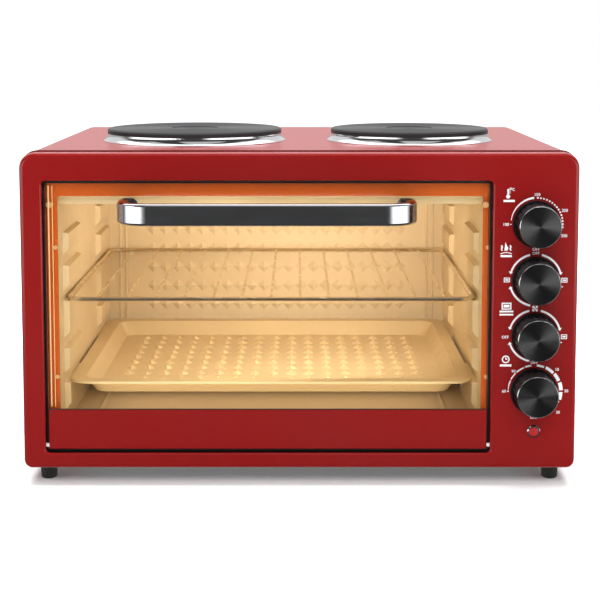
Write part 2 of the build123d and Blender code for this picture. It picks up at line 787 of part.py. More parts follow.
# Seal: a dark strip between the panel and the glass, with a bead along the panel's top edge
with BuildPart() as door_seal:
    block(door_left + fit_gap, door_right - fit_gap, panel_back, glass_front,
          glass_bottom, panel_top + seal_line)
    block(door_left + fit_gap, door_right - fit_gap, panel_front, glass_front,
          panel_top, panel_top + seal_line)
    block(door_left + rail_inset, door_right - rail_inset, panel_back, glass_back,
          rail_level, glass_bottom)
door_seal.part.label = "door_seal"
export_step(door_seal.part, "parts/door_seal.step")

# Inner rail: its shelf carries the glass, and its upright clamps the glass to the panel
with BuildPart() as door_rail:
    block(door_left + rail_inset, door_right - rail_inset, panel_back, rail_back,
          rail_level - rail_sheet, rail_level)
    block(door_left + rail_inset, door_right - rail_inset, glass_back, rail_back,
          door_bottom + rail_bottom, door_bottom + rail_top)
door_rail.part.label = "door_rail"
export_step(door_rail.part, "parts/door_rail.step")

# Hinge pins through the jamb, and the levers behind the frame that the springs pull on
with BuildPart() as hinge_pins:
    for left, right in ((spring_column_left - hinge_arm_sheet / 2,
                         door_left + panel_sheet + hinge_pin_inside),
                        (door_right - panel_sheet - hinge_pin_inside,
                         spring_column_right + hinge_arm_sheet / 2)):
        with BuildSketch(Plane.YZ.offset(left)):
            with Locations((front_y + hinge_depth, hinge_height)):
                Circle(hinge_pin_radius)
        extrude(amount=right - left)
hinge_pins.part.label = "hinge_pins"
export_step(hinge_pins.part, "parts/hinge_pins.step")

for side, column in (("left", spring_column_left), ("right", spring_column_right)):
    with BuildPart() as arm:
        with BuildSketch(Plane.YZ.offset(column - hinge_arm_sheet / 2)):
            with Locations((front_y + hinge_depth, hinge_height)):
                Circle(hinge_arm_radius)
            with Locations((front_y + spring_depth, hinge_height)):
                Circle(arm_tip_radius)
            make_hull()
            with Locations((front_y + hinge_depth, hinge_height)):
                Circle(hinge_pin_radius, mode=Mode.SUBTRACT)
            with Locations((front_y + spring_depth, hinge_height)):
                Circle(spring_wire, mode=Mode.SUBTRACT)
        extrude(amount=hinge_arm_sheet)
    arm.part.label = f"hinge_arm_{side}"
    export_step(arm.part, f"parts/hinge_arm_{side}.step")

# Springs: each runs from a tab on the base plate up to the tip of its lever
wire = spring_wire / 2
coil_low = base_top + tab_height + fit_gap
coil_high = hinge_height - arm_tip_radius - fit_gap
hook_offset = spring_radius - hook_inset
with BuildPart() as hinge_springs:
    for column in (spring_column_left, spring_column_right):
        with BuildSketch(Plane.XY.offset(coil_low)):
            with Locations((column, front_y + spring_depth)):
                Circle(spring_radius)
                Circle(spring_radius - spring_wire, mode=Mode.SUBTRACT)
        extrude(amount=coil_high - coil_low)
        near, hook_end = front_y + spring_depth, column + hook_offset
        with BuildLine() as route:
            FilletPolyline((column - hook_offset, near, tab_hole_level), (hook_end, near, tab_hole_level),
                           (hook_end, near, hinge_height), (column - hook_offset, near, hinge_height),
                           radius=spring_wire)
        with BuildSketch(Plane.YZ.offset(column - hook_offset)):
            with Locations((near, tab_hole_level)):
                Circle(wire)
        sweep()
hinge_springs.part.label = "hinge_springs"
export_step(hinge_springs.part, "parts/hinge_springs.step")

# Handle: a flat bar bent back to the glass at both ends, on two small feet
with BuildPart() as door_handle:
    root_y = front_y + glass_front - handle_foot_sheet
    bar_y = front_y + glass_front - handle_reach + handle_thickness / 2
    with BuildLine() as route:
        FilletPolyline((handle_ends[0], root_y, handle_level), (handle_ends[0], bar_y, handle_level),
                       (handle_ends[1], bar_y, handle_level), (handle_ends[1], root_y, handle_level),
                       radius=handle_bend)
    with BuildSketch(front(glass_front - handle_foot_sheet)):
        with Locations((handle_ends[0], handle_level)):
            RectangleRounded(handle_thickness, handle_height, handle_bevel)
    sweep()
    for x in handle_feet:
        with BuildSketch(front(glass_front)):
            with Locations((x, handle_level)):
                RectangleRounded(handle_foot_width, handle_foot_height, handle_foot_width / 3)
        extrude(amount=handle_foot_sheet)
    for x in handle_ends:
        with BuildSketch(front(glass_front)):
            with Locations((x, handle_level)):
                Circle(handle_screw_radius)
        extrude(amount=handle_thickness, mode=Mode.SUBTRACT)
door_handle.part.label = "door_handle"
export_step(door_handle.part, "parts/door_handle.step")

with BuildPart() as handle_screws:
    for x in handle_ends:
        with BuildSketch(front(glass_back)):
            with Locations((x, handle_level)):
                Circle(handle_screw_head)
        extrude(amount=-handle_screw_radius)
        with BuildSketch(front(glass_back)):
            with Locations((x, handle_level)):
                Circle(handle_screw_radius)
        extrude(amount=glass_thickness + handle_thickness - 1)
handle_screws.part.label = "handle_screws"
export_step(handle_screws.part, "parts/handle_screws.step")

# Soft bumpers on the ledge's beads, where the glass comes to rest
with BuildPart() as door_bumpers:
    for x in (opening_left + ledge_bead_inset + ledge_bead_width / 2,
              opening_right - ledge_bead_inset - ledge_bead_width / 2):
        with BuildSketch(front(ledge_depth - ledge_bead_height)):
            with Locations((x, opening_top - bumper_drop)):
                Circle(bumper_radius)
        extrude(amount=ledge_depth - ledge_bead_height - glass_back - fit_gap)
door_bumpers.part.label = "door_bumpers"
export_step(door_bumpers.part, "parts/door_bumpers.step")

# Controls: each has a body behind the fascia with a bush through it, a shaft and a knob
for name, level in zip(knob_names, knob_levels):
    middle = (knob_column, front_y, level)
    face = Plane(origin=middle, x_dir=(1, 0, 0), z_dir=(0, -1, 0))
    section = Plane(origin=middle, x_dir=(1, 0, 0), z_dir=(0, 0, -1))
    cap_height = knob_height - disc_sheet
    bore_end = cap_height - knob_wall - knob_gap
    with BuildPart() as control:
        with BuildSketch(face.offset(-sheet)):
            if name == "timer":
                Circle(control_height / 2)
                Rectangle(control_width, control_height / 3)
            else:
                Rectangle(control_width, control_height)
        extrude(amount=-control_depth)
        fillet(control.faces().sort_by(Axis.Y)[-1].edges(), sheet)
        with BuildSketch(face.offset(-sheet)):
            Circle(bush_outer)
        extrude(amount=sheet + knob_gap)
        with BuildSketch(face.offset(-sheet - control_depth)):
            with GridLocations(control_width / 4, 0, 3, 1):
                Rectangle(blade_sheet, blade_length)
        extrude(amount=-blade_length)
        with BuildSketch(face.offset(knob_gap)):
            Circle(shaft_radius + shaft_clearance)
        extrude(amount=-control_depth / 2, mode=Mode.SUBTRACT)
    control.part.label = f"{name}_control"
    export_step(control.part, f"parts/{name}_control.step")

    with BuildPart() as shaft:
        with BuildSketch(face.offset(knob_gap - control_depth / 2 + shaft_clearance)):
            Circle(shaft_radius)
        extrude(amount=control_depth / 2 + bore_end - knob_gap - fit_gap)
        with BuildSketch(face.offset(knob_recess)):
            with Locations((0, 2 * shaft_radius - shaft_flat)):
                Rectangle(2 * shaft_radius, 2 * shaft_radius)
        extrude(amount=knob_height, mode=Mode.SUBTRACT)
    shaft.part.label = f"{name}_shaft"
    export_step(shaft.part, f"parts/{name}_shaft.step")

    with BuildPart() as knob:
        with BuildSketch(section):
            with BuildLine():
                Polyline((0, cap_height), (disc_radius, cap_height), (grip_radius, cap_height - disc_bevel),
                         (grip_foot_radius, knob_gap + skirt_height),
                         (skirt_radius - disc_bevel, knob_gap + skirt_height),
                         (skirt_radius, knob_gap + skirt_height - disc_bevel),
                         (skirt_radius, knob_gap), (grip_radius - knob_wall, knob_gap),
                         (grip_radius - knob_wall, cap_height - knob_wall),
                         (hub_radius, cap_height - knob_wall), (hub_radius, knob_recess),
                         (0, knob_recess), close=True)
            make_face()
        revolve(axis=Axis(middle, (0, -1, 0)))
        with BuildSketch(face.offset(knob_recess)):
            Circle(shaft_radius)
            with Locations((0, 2 * shaft_radius - shaft_flat)):
                Rectangle(2 * shaft_radius, 2 * shaft_radius, mode=Mode.SUBTRACT)
        extrude(amount=bore_end - knob_recess, mode=Mode.SUBTRACT)
        with BuildSketch(face.offset(knob_gap + skirt_height)):
            with PolarLocations(grip_foot_radius, grip_flutes):
                Rectangle(2 * flute_depth, flute_width)
        extrude(amount=cap_height - skirt_height - flute_top, mode=Mode.SUBTRACT)
    knob.part.label = f"{name}_knob"
    export_step(knob.part, f"parts/{name}_knob.step")

    with BuildPart() as disc:
        with BuildSketch(face.offset(cap_height)):
            Circle(disc_radius)
        extrude(amount=disc_sheet)
        chamfer(disc.faces().sort_by(Axis.Y)[0].edges(), disc_bevel)
    disc.part.label = f"{name}_disc"
    export_step(disc.part, f"parts/{name}_disc.step")

# Pilot lamp: a red lens in a bright ring, with its holder behind the fascia
lamp_face = Plane(origin=(lamp_column, front_y, lamp_level), x_dir=(1, 0, 0), z_dir=(0, -1, 0))
with BuildPart() as pilot_bezel:
    with BuildSketch(lamp_face):
        Circle(lamp_bezel_radius)
        Circle(lamp_lens_radius, mode=Mode.SUBTRACT)
    extrude(amount=lamp_proud)
    chamfer(pilot_bezel.faces().sort_by(Axis.Y)[0].outer_wire().edges(), lamp_proud / 2)
pilot_bezel.part.label = "pilot_bezel"
export_step(pilot_bezel.part, "parts/pilot_bezel.step")

with BuildPart() as pilot_lens:
    with BuildSketch(lamp_face.offset(-sheet)):
        Circle(lamp_lens_radius - shaft_clearance)
    extrude(amount=sheet + lamp_proud)
    fillet(pilot_lens.faces().sort_by(Axis.Y)[0].edges(), lamp_edge_radius)
pilot_lens.part.label = "pilot_lens"
export_step(pilot_lens.part, "parts/pilot_lens.step")

with BuildPart() as pilot_holder:
    with BuildSketch(lamp_face.offset(-sheet)):
        Circle(lamp_bezel_radius)
    extrude(amount=-control_depth)
pilot_holder.part.label = "pilot_holder"
export_step(pilot_holder.part, "parts/pilot_holder.step")

# Wire rack: a closed frame of thick wire, with thin rods from front to back
slope = hypot(pad_rise, pad_drop)
rack_shelf = shelf_levels[2]
rack_lift = (rack_wire_radius + fit_gap) * slope - pad_drop * rack_side_gap
rack_level = rack_shelf + rack_lift / pad_rise
rod_pitch = 2 * rack_half_width / (rack_rods + 1)
with BuildPart() as wire_rack:
    with BuildLine() as route:
        near, far = front_y + rack_front, front_y + rack_back
        rack_side = chamber_middle + rack_half_width
        FilletPolyline((chamber_middle, near, rack_level), (rack_side, near, rack_level),
                       (rack_side, far, rack_level), (chamber_middle, far, rack_level),
                       radius=rack_corner)
    with BuildSketch(Plane.YZ.offset(chamber_middle)):
        with Locations((near, rack_level)):
            Circle(rack_wire_radius)
    sweep()
    mirror(about=Plane.YZ.offset(chamber_middle))
    with BuildSketch(front(rack_front)):
        with Locations((chamber_middle, rack_level)):
            with GridLocations(rod_pitch, 0, rack_rods, 1):
                Circle(rack_rod_radius)
    extrude(amount=-(rack_back - rack_front))
wire_rack.part.label = "wire_rack"
export_step(wire_rack.part, "parts/wire_rack.step")

# Baking tray: a pressed tub with sloping walls under a flat rim whose edge turns down
tray_rim_top = shelf_levels[0] - pad_drop * tray_side_gap / pad_rise + fit_gap + tray_lip
tray_middle = (chamber_middle, front_y + (tray_front + tray_back) / 2)
tray_width, tray_length = 2 * tray_half_width, tray_back - tray_front


def tray_outline(level, inset, radius):
    """A level rectangle with rounded corners, the tray's outer outline drawn in by an inset."""
    with BuildSketch(Plane.XY.offset(level), mode=Mode.PRIVATE) as outline:
        with Locations(tray_middle):
            RectangleRounded(tray_width - 2 * inset, tray_length - 2 * inset, radius)
    return outline.sketch


tub_corner = tray_corner - tray_rim / 2
tub_floor = tray_rim_top - tray_sheet - tray_tub_depth
with BuildPart() as baking_tray:
    add(extrude(tray_outline(tray_rim_top - tray_lip, 0, tray_corner), tray_lip, mode=Mode.PRIVATE))
    add(extrude(tray_outline(tray_rim_top - tray_lip, tray_sheet, tray_corner - tray_sheet),
                tray_lip - tray_sheet, mode=Mode.PRIVATE), mode=Mode.SUBTRACT)
    add(loft([tray_outline(tray_rim_top - tray_sheet, tray_rim - tray_sheet, tub_corner + tray_sheet),
              tray_outline(tub_floor, tray_rim + tray_wall_run - tray_sheet, tub_corner)],
             ruled=True, mode=Mode.PRIVATE))
    add(loft([tray_outline(tray_rim_top, tray_rim, tub_corner + tray_sheet),
              tray_outline(tub_floor + tray_sheet, tray_rim + tray_wall_run, tub_corner)],
             ruled=True, mode=Mode.PRIVATE), mode=Mode.SUBTRACT)
baking_tray.part.label = "baking_tray"
export_step(baking_tray.part, "parts/baking_tray.step")

# Feet: turned studs with a sunk screw each
with BuildPart() as feet:
    for x, y in foot_places:
        with BuildSketch(Plane(origin=(x, y, 0), x_dir=(1, 0, 0), z_dir=(0, -1, 0))):
            with BuildLine():
                Polyline((foot_screw_head + fit_gap, 0), (foot_tip_radius - sheet, 0),
                         (foot_tip_radius, sheet), (foot_radius, foot_height),
                         (foot_screw_radius + shaft_clearance, foot_height),
                         (foot_screw_radius + shaft_clearance, foot_socket),
                         (foot_screw_head + fit_gap, foot_socket), close=True)
            make_face()
        revolve(axis=Axis((x, y, 0), (0, 0, 1)))
feet.part.label = "feet"
export_step(feet.part, "parts/feet.step")

with BuildPart() as foot_screws:
    with BuildSketch(Plane.XY.offset(foot_socket)):
        with Locations(*foot_places):
            Circle(foot_screw_head)
    extrude(amount=-foot_screw_radius)
    with BuildSketch(Plane.XY.offset(foot_socket)):
        with Locations(*foot_places):
            Circle(foot_screw_radius)
    extrude(amount=foot_height - foot_socket + 3 * sheet)
foot_screws.part.label = "foot_screws"
export_step(foot_screws.part, "parts/foot_screws.step")

# Cable gland: a ribbed sleeve clipped through the rear panel
gland_middle = (gland_column, front_y + body_depth - rear_inset, gland_level)
gland_section = Plane(origin=gland_middle, x_dir=(1, 0, 0), z_dir=(0, 0, 1))
gland_end = rear_inset + gland_reach
with BuildPart() as cable_gland:
    with BuildSketch(gland_section):
        with BuildLine():
            Polyline((gland_bore, -2 * sheet - liner), (gland_hole_radius + liner, -2 * sheet),
                     (gland_hole_radius + liner, -sheet), (gland_hole_radius - bush_clearance, -sheet),
                     (gland_hole_radius - bush_clearance, 0), (gland_radius, 0),
                     (gland_radius, 2 * liner), (gland_hole_radius, 3 * liner),
                     (gland_hole_radius - liner, gland_end), (gland_bore, gland_end), close=True)
        make_face()
    revolve(axis=Axis(gland_middle, (0, 1, 0)))
cable_gland.part.label = "cable_gland"
export_step(cable_gland.part, "parts/cable_gland.step")

# Heat shield between the chamber and the controls, standing on the base plate
with BuildPart() as heat_shield:
    block(shield_column, shield_column + liner, shield_front, base_back, base_top, shield_top)
    block(shield_column, shield_column + shield_foot, shield_front, base_back,
          base_top, base_top + liner)
    with BuildSketch(Plane.YZ.offset(shield_column)):
        with Locations((front_y + body_depth / 2, body_middle)):
            with GridLocations(2 * vent_length, 2 * vent_pitch, 3, vent_rows // 2):
                SlotOverall(vent_length, vent_width)
    extrude(amount=liner, mode=Mode.SUBTRACT)
heat_shield.part.label = "heat_shield"
export_step(heat_shield.part, "parts/heat_shield.step")

# Terminal block on the base plate, near the gland
terminal_y = front_y + body_depth - terminal_from_back
with BuildPart() as terminal_block:
    with BuildSketch(Plane.XY.offset(base_top)):
        with Locations((gland_column, terminal_y)):
            Rectangle(control_width, control_depth)
    extrude(amount=terminal_height)
    with Locations((gland_column, terminal_y, base_top + terminal_height)):
        with GridLocations(control_width / 3, control_depth / 2, 3, 2):
            Hole(foot_screw_radius, depth=terminal_hole_depth)
terminal_block.part.label = "terminal_block"
export_step(terminal_block.part, "parts/terminal_block.step")

# Small screws that hold the chamber's flanges to the ledge
flange_screw_levels = (lowest_pad_bottom + flange_screw_rise, chamber_ceiling - flange_screw_drop)
with BuildPart() as flange_screws:
    for x in (mouth_left - foot_screw_radius - fit_gap, opening_right - foot_screw_radius - liner):
        for level in flange_screw_levels:
            with BuildSketch(front(ledge_depth)):
                with Locations((x, level)):
                    Circle(foot_screw_radius)
            extrude(amount=liner)
flange_screws.part.label = "flange_screws"
export_step(flange_screws.part, "parts/flange_screws.step")
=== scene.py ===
"""Looks of the table-top oven with two hotplates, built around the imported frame.

Metres, +Z up, the front face looks along -Y, as in the frame.
"""
import json
from math import cos, pi, radians, sin

import bmesh
import bpy
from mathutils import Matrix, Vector


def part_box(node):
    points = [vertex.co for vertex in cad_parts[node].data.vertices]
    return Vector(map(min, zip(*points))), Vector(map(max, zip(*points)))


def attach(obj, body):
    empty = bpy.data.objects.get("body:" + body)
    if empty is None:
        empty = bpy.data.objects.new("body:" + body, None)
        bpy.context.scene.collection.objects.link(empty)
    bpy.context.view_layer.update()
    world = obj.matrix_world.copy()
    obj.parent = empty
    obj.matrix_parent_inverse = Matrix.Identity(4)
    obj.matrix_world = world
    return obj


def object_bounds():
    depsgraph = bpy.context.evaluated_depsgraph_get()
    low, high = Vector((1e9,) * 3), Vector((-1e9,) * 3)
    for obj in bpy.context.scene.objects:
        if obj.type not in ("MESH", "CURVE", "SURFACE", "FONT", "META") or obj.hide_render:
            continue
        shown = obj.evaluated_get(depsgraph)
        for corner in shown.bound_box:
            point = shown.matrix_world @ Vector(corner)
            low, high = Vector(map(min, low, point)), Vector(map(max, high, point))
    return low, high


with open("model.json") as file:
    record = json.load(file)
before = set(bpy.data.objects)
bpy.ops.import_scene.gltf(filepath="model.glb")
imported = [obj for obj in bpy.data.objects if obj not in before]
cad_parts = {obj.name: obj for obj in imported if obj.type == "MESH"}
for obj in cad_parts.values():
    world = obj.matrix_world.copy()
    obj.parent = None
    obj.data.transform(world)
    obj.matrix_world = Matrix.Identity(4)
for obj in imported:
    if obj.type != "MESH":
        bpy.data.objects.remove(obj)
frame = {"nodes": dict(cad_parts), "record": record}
cad_box = [list(corner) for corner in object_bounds()]
nodes = frame["nodes"]
scene = bpy.context.scene
mm = 0.001

# Gaps between the door and the opening that it closes
panel_recess = 0.9 * mm
glass_side_gap = 3.1 * mm
glass_top_gap = 1.9 * mm
panel_low_gap = 3.8 * mm
ledge_depth = 12.0 * mm

# Places read from the frame
body_low, body_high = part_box("front_frame")
face_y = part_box("door_panel")[0].y - panel_recess
ledge_y = face_y + ledge_depth
opening_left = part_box("door_glass")[0].x - glass_side_gap
opening_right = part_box("door_glass")[1].x + glass_side_gap
opening_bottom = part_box("door_panel")[0].z - panel_low_gap
opening_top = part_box("door_glass")[1].z + glass_top_gap
chamber_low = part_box("chamber_back_wall")[0]
chamber_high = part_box("chamber_back_wall")[1]

# Camera: the photograph's view, a little above the roof and square to the front
camera_place = (-0.0007, -1.4371, 0.4280)
camera_tilt = 0.0946
camera_lens = 80.71
camera_sensor = 36.0
camera_shift = (0.0024, -0.22)
camera_clip = 0.01

# Colours, as linear values
white = (1.0, 1.0, 1.0)
paint_red = (0.198, 0.0048, 0.0044)
# Painted shade: near black for the door's gap, in place of its shadow
gap_painted_shade = (0.010, 0.0015, 0.0015)
# Painted light: the red ledge behind the glass painted orange, as the chamber's warm glow lights
# it
ledge_painted_glow = (0.53, 0.095, 0.010)
enamel_tan = (0.71, 0.545, 0.295)
tray_cream = (0.64, 0.475, 0.23)
# Painted shade: dark red for the shadow line in the seam
seam_shadow_red = (0.09, 0.004, 0.004)
# Painted highlight: the bright lines seen at the door glass's edge
painted_edge_highlight_tan = (0.85, 0.50, 0.22)
glass_clear = (0.97, 0.96, 0.94)
print_white = (0.74, 0.78, 0.80)
zinc_grey, zinc_dull, zinc_pale = (0.55, 0.56, 0.57), (0.50, 0.51, 0.52), (0.57, 0.58, 0.59)
# The second and third chrome colours are painted shade, for the handle's top and end faces
chrome, chrome_painted_top_shade, chrome_painted_end_shade = (0.62, 0.63, 0.65), (0.20, 0.20, 0.21), (0.10, 0.10, 0.105)
iron, iron_dark, iron_pale = (0.03, 0.03, 0.031), (0.020, 0.020, 0.021), (0.042, 0.042, 0.044)
disc_grey, disc_rim = (0.16, 0.16, 0.162), (0.75, 0.76, 0.78)
steel, steel_dark, steel_pale = (0.17, 0.15, 0.13), (0.10, 0.09, 0.09), (0.22, 0.19, 0.16)


# Helpers for node trees and materials
class NodeTree:
    """Short calls for the nodes that a material or the world is built from."""

    def __init__(self, tree):
        self.tree = tree

    def fill(self, socket, value):
        """Link a socket to another node's output, or set its own value."""
        if isinstance(value, bpy.types.NodeSocket):
            self.tree.links.new(value, socket)
        else:
            socket.default_value = value

    def node(self, kind, inputs=(), **settings):
        """A node with its settings made and its inputs filled, by name or by number."""
        made = self.tree.nodes.new(kind)
        for key, value in settings.items():
            setattr(made, key, value)
        for key, value in dict(inputs).items():
            self.fill(made.inputs[key], value)
        return made

    def math(self, operation, first, second=0.0):
        return self.node("ShaderNodeMath", {0: first, 1: second}, operation=operation).outputs[0]

    def times(self, first, second):
        return self.math("MULTIPLY", first, second)

    def larger(self, first, second):
        return self.math("MAXIMUM", first, second)

    def span(self, value, low, high, to_low, to_high, curve="LINEAR"):
        """A value carried from one range to another, and held at its ends."""
        inputs = {"Value": value, "From Min": low, "From Max": high,
                  "To Min": to_low, "To Max": to_high}
        return self.node("ShaderNodeMapRange", inputs, interpolation_type=curve).outputs[0]

    def parts_of(self, vector):
        return self.node("ShaderNodeSeparateXYZ", {0: vector}).outputs

    def light_path(self):
        return self.node("ShaderNodeLightPath").outputs


class Recipe(NodeTree):
    """A material with one Principled shader to plug detail into."""

    def __init__(self, name, color, roughness, metallic=0.0, **settings):
        self.material = bpy.data.materials.new(name)
        self.material.use_nodes = True
        super().__init__(self.material.node_tree)
        self.shader = self.tree.nodes["Principled BSDF"]
        self.output = self.tree.nodes["Material Output"]
        self.set("Base Color", (*color, 1.0))
        self.set("Roughness", roughness)
        self.set("Metallic", metallic)
        for socket, value in settings.items():
            self.set(socket.replace("_", " "), value)

    def set(self, socket, value):
        self.shader.inputs[socket].default_value = value

    def plug(self, socket, value):
        self.tree.links.new(value, self.shader.inputs[socket])

    def place(self):
        """The point in the object's own space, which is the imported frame's at rest."""
        return self.node("ShaderNodeTexCoord").outputs["Object"]

    def facing(self):
        """The surface's normal in the object's own space, as x, y and z."""
        return self.parts_of(self.node("ShaderNodeTexCoord").outputs["Normal"])

    def noise(self, scale, detail, vector=None, stretch=(1, 1, 1)):
        vector = self.place() if vector is None else vector
        mapped = self.node("ShaderNodeMapping", {"Vector": vector, "Scale": stretch})
        made = self.node("ShaderNodeTexNoise",
                         {"Vector": mapped.outputs[0], "Scale": scale, "Detail": detail})
        return made.outputs["Fac"]

    def blend(self, factor, first, second):
        """Two colours mixed by a factor. A colour is three numbers or another node's output."""
        made = self.node("ShaderNodeMix", {0: factor}, data_type="RGBA")
        for key, value in ((6, first), (7, second)):
            linked = isinstance(value, bpy.types.NodeSocket)
            self.fill(made.inputs[key], value if linked else (*value, 1.0))
        return made.outputs[2]

    def vary_roughness(self, noise, smooth, dull):
        """Roughness that follows the middle of a noise's range."""
        self.plug("Roughness", self.span(noise, 0.3, 0.7, smooth, dull))

    def bump(self, height, depth, strength):
        made = self.node("ShaderNodeBump",
                         {"Height": height, "Distance": depth, "Strength": strength})
        self.plug("Normal", made.outputs[0])

    def show(self, shader):
        """Put another shader between the Principled one and the output."""
        self.tree.links.new(shader.outputs[0], self.output.inputs["Surface"])


def tint(color, factor):
    return tuple(min(1.0, channel * factor) for channel in color)


def drift_tone(recipe, color):
    """A faint drift of tone, as on a large painted sheet."""
    drift = recipe.noise(scale=5.0, detail=0.0)
    recipe.plug("Base Color", recipe.blend(drift, tint(color, 0.97), tint(color, 1.03)))


def paint_recipe(name):
    """Oven-dried enamel paint: a thin clear coat, orange peel and uneven gloss."""
    recipe = Recipe(name, paint_red, 0.2, Specular_IOR_Level=0.28,
                    Coat_Weight=0.4, Coat_Roughness=0.06, Coat_IOR=1.45)
    drift_tone(recipe, paint_red)
    gloss = recipe.noise(scale=14.0, detail=0.0)
    recipe.plug("Roughness", recipe.span(gloss, 0.0, 1.0, 0.13, 0.27))
    recipe.bump(recipe.noise(scale=420.0, detail=1.0), depth=0.04 * mm, strength=0.15)
    return recipe


def make_casing_paint():
    """The same paint with a softer sheen, as rolled sheet has it, and a painted sheen: stronger on
    faces turned up, the roof, and weaker on the sides.
    """
    recipe = Recipe("red_casing_paint", paint_red, 0.28)
    drift_tone(recipe, paint_red)
    upward = recipe.facing()[2]
    # Painted sheen: reflection strength set by which way a face points
    recipe.plug("Specular IOR Level", recipe.span(upward, 0.5, 0.9, 0.22, 0.55))
    return recipe.material


def make_frame_paint():
    """The same paint, with painted shade near black in the door's gap, and behind the door the
    ledge painted orange: painted light, the chamber's warm glow through the glass.
    """
    recipe = paint_recipe("red_paint_with_painted_gap_shade_and_ledge_glow")
    x, y, z = recipe.parts_of(recipe.place())

    def within(value, low, high):
        above = recipe.math("GREATER_THAN", value, low)
        return recipe.times(above, recipe.math("LESS_THAN", value, high))

    def zone(near, far, margin):
        """1 between two depths and inside the opening grown by a margin, and 0 elsewhere."""
        across = within(x, opening_left - margin, opening_right + margin)
        along = within(z, opening_bottom - margin, opening_top + margin)
        return recipe.times(within(y, near, far), recipe.times(across, along))

    # Painted shade in the door's gap, and a painted warm glow on the ledge
    ledge_back = ledge_y + 0.8 * mm
    gap = zone(face_y + 3.5 * mm, ledge_back, 0.5 * mm)
    ledge = zone(ledge_y - 1.5 * mm, ledge_back, -2.9 * mm)
    painted = recipe.shader.inputs["Base Color"].links[0].from_socket
    shaded = recipe.blend(gap, painted, gap_painted_shade)
    recipe.plug("Base Color", recipe.blend(ledge, shaded, ledge_painted_glow))
    return recipe.material


def make_zinc():
    """Galvanised sheet: pale grey with the flakes that hot zinc leaves."""
    recipe = Recipe("galvanised_sheet", zinc_grey, 0.42, 0.85)
    cells = recipe.node("ShaderNodeTexVoronoi", {"Vector": recipe.place(), "Scale": 210.0})
    flakes = recipe.parts_of(cells.outputs["Color"])[0]
    recipe.plug("Base Color", recipe.blend(flakes, zinc_dull, zinc_pale))
    recipe.plug("Roughness", recipe.span(flakes, 0.0, 1.0, 0.38, 0.46))
    recipe.bump(recipe.noise(scale=700.0, detail=2.0), depth=0.03 * mm, strength=0.4)
    return recipe.material


def make_bright_zinc():
    recipe = Recipe("bright_zinc", (0.70, 0.70, 0.71), 0.25, 1.0)
    recipe.vary_roughness(recipe.noise(scale=300.0, detail=3.0), smooth=0.18, dull=0.34)
    recipe.bump(recipe.noise(scale=900.0, detail=2.0), depth=0.02 * mm, strength=0.4)
    return recipe.material


def make_enamel(name, color, roughness):
    """Satin oven enamel, with fine specks and a slow drift of tone."""
    recipe = Recipe(name, color, roughness, Specular_IOR_Level=0.5)
    specks = recipe.span(recipe.noise(scale=1500.0, detail=1.0), 0.60, 0.72, 0.0, 0.35)
    drift = recipe.blend(recipe.noise(scale=12.0, detail=3.0),
                         tint(color, 0.94), tint(color, 1.05))
    recipe.plug("Base Color", recipe.blend(specks, drift, tint(color, 0.72)))
    recipe.vary_roughness(recipe.noise(scale=60.0, detail=3.0),
                          smooth=roughness - 0.05, dull=roughness + 0.08)
    recipe.bump(recipe.noise(scale=260.0, detail=2.0), depth=0.05 * mm, strength=0.12)
    return recipe.material


def chrome_recipe(name, color, roughness, smooth, dull):
    """Polished metal, a little uneven in long strokes along X."""
    recipe = Recipe(name, color, roughness, 1.0)
    strokes = recipe.noise(scale=180.0, detail=3.0, stretch=(0.15, 1.0, 1.0))
    recipe.vary_roughness(strokes, smooth, dull)
    return recipe


def make_chrome(name, color, roughness):
    recipe = chrome_recipe(name, color, roughness, roughness - 0.03, roughness + 0.05)
    strokes = recipe.noise(scale=900.0, detail=2.0, stretch=(0.05, 1.0, 1.0))
    recipe.bump(strokes, depth=0.01 * mm, strength=0.15)
    return recipe.material


def make_handle():
    """Bright chrome on the front, with painted shade: the top painted duller and the end faces
    painted darker.
    """
    recipe = chrome_recipe("handle_chrome", chrome, 0.14, smooth=0.11, dull=0.19)
    # Painted shade by facing: darker on the top and on the end faces
    across, _, up = recipe.facing()
    on_top = recipe.span(up, 0.86, 0.98, 0.0, 1.0)
    on_end = recipe.span(recipe.math("ABSOLUTE", across), 0.76, 0.90, 0.0, 1.0)
    top_shaded_chrome = recipe.blend(on_top, chrome, chrome_painted_top_shade)
    recipe.plug("Base Color", recipe.blend(on_end, top_shaded_chrome, chrome_painted_end_shade))
    return recipe.material


def turned(recipe, centre, axis, pitch, depth):
    """Fine turning marks around an axis, and the stretched highlight that they give.

    Returns the distance from the axis.
    """
    x, y, z = recipe.parts_of(recipe.place())
    second, second_centre = (z, centre.z) if axis == "Y" else (y, centre.y)
    across = recipe.math("SUBTRACT", x, centre.x)
    along = recipe.math("SUBTRACT", second, second_centre)
    squared = recipe.math("ADD", recipe.times(across, across), recipe.times(along, along))
    distance = recipe.math("SQRT", squared)
    turns = recipe.math("SINE", recipe.times(distance, 2 * pi / pitch))
    recipe.bump(turns, depth, strength=0.6)
    tangent = recipe.node("ShaderNodeTangent", direction_type="RADIAL", axis=axis)
    recipe.plug("Tangent", tangent.outputs[0])
    return distance


def make_hotplate(node):
    """Cast iron with turning marks under a black heat-proof coat."""
    low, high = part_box(node)
    recipe = Recipe(f"{node}_cast_iron", iron, 0.5, Anisotropic=0.75,
                    Anisotropic_Rotation=0.25, Specular_IOR_Level=0.06)
    distance = turned(recipe, (low + high) / 2, "Z", pitch=2.2 * mm, depth=0.06 * mm)
    rings_per_metre = 260.0
    rings_out = recipe.times(distance, rings_per_metre)
    along_radius = recipe.node("ShaderNodeCombineXYZ", {0: rings_out}).outputs[0]
    rings = recipe.noise(scale=1.0, detail=2.0, vector=along_radius)
    recipe.plug("Base Color", recipe.blend(rings, iron_dark, iron_pale))
    recipe.plug("Roughness", recipe.span(rings, 0.2, 0.8, 0.40, 0.54))
    return recipe.material


